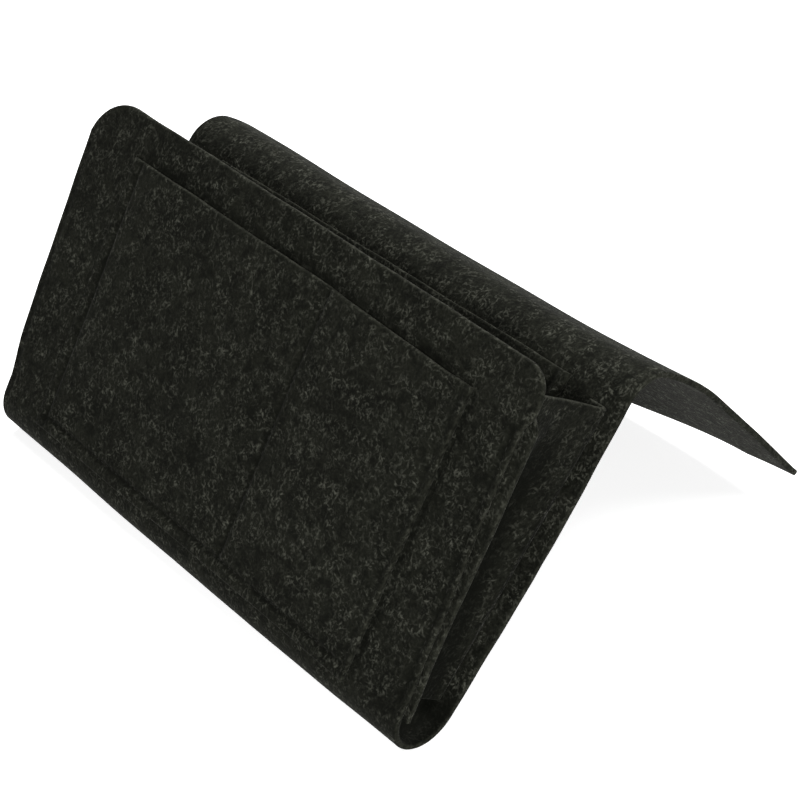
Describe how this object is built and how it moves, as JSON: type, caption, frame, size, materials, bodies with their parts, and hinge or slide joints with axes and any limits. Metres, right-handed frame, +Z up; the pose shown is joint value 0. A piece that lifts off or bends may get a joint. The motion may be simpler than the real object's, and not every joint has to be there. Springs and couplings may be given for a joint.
{
  "type": "bedside caddy",
  "caption": "Felt bedside caddy: a flap to tuck under a mattress, a main pocket with folded side gussets, a patch pocket in front and another inside",
  "frame": {"origin": "middle of the bounding box, on the surface that the caddy stands on", "axes": "+X to the right along the width, seen from the front; +Y to the back, from the front panel to the end of the flap; +Z up"},
  "size_m": [0.32, 0.2838, 0.1795],
  "materials": {
    "charcoal_felt": "needled wool-look felt in charcoal, matte, with short paler fibres on its surface"
  },
  "bodies": {
    "back": {"back_panel": "charcoal_felt", "inner_pocket": "charcoal_felt", "left_gusset_rear_flange": "charcoal_felt", "right_gusset_rear_flange": "charcoal_felt"},
    "flap": {"tuck_in_flap": "charcoal_felt"},
    "front": {"front_panel": "charcoal_felt", "front_pocket": "charcoal_felt", "left_gusset_front_flange": "charcoal_felt", "right_gusset_front_flange": "charcoal_felt"},
    "left_gusset_rear": {"left_gusset_rear_half": "charcoal_felt"},
    "left_gusset_front": {"left_gusset_front_half": "charcoal_felt"},
    "right_gusset_rear": {"right_gusset_rear_half": "charcoal_felt"},
    "right_gusset_front": {"right_gusset_front_half": "charcoal_felt"}
  },
  "joints": [
    {"name": "flap_fold", "type": "hinge", "parent": "back", "child": "flap", "pos_m": [0, 0.00936, 0.13778], "axis": [-1, 0, 0], "range_deg": [-105, 70]},
    {"name": "pocket_mouth", "type": "hinge", "parent": "back", "child": "front", "pos_m": [0, -0.13045, 0.00604], "axis": [1, 0, 0], "range_deg": [-10, 0.5]},
    {"name": "left_gusset_rear_fold", "type": "hinge", "parent": "back", "child": "left_gusset_rear", "pos_m": [-0.1534, -0.10854, 0.01311], "axis": [0, 0.6366, 0.7712], "range_deg": [-10, 55]},
    {"name": "left_gusset_front_fold", "type": "hinge", "parent": "front", "child": "left_gusset_front", "pos_m": [-0.1534, -0.12877, 0.02732], "axis": [0, 0.5096, 0.8604], "range_deg": [-55, 10]},
    {"name": "right_gusset_rear_fold", "type": "hinge", "parent": "back", "child": "right_gusset_rear", "pos_m": [0.1534, -0.10854, 0.01311], "axis": [0, 0.6366, 0.7712], "range_deg": [-70, 10]},
    {"name": "right_gusset_front_fold", "type": "hinge", "parent": "front", "child": "right_gusset_front", "pos_m": [0.1534, -0.12912, 0.02668], "axis": [0, 0.4577, 0.8891], "range_deg": [-10, 70]}
  ],
  "couplings": [
    {"joint": "left_gusset_rear_fold", "follows": "pocket_mouth", "ratio": -4.6},
    {"joint": "left_gusset_front_fold", "follows": "pocket_mouth", "ratio": 4.6},
    {"joint": "right_gusset_rear_fold", "follows": "pocket_mouth", "ratio": 6},
    {"joint": "right_gusset_front_fold", "follows": "pocket_mouth", "ratio": -6}
  ]
}
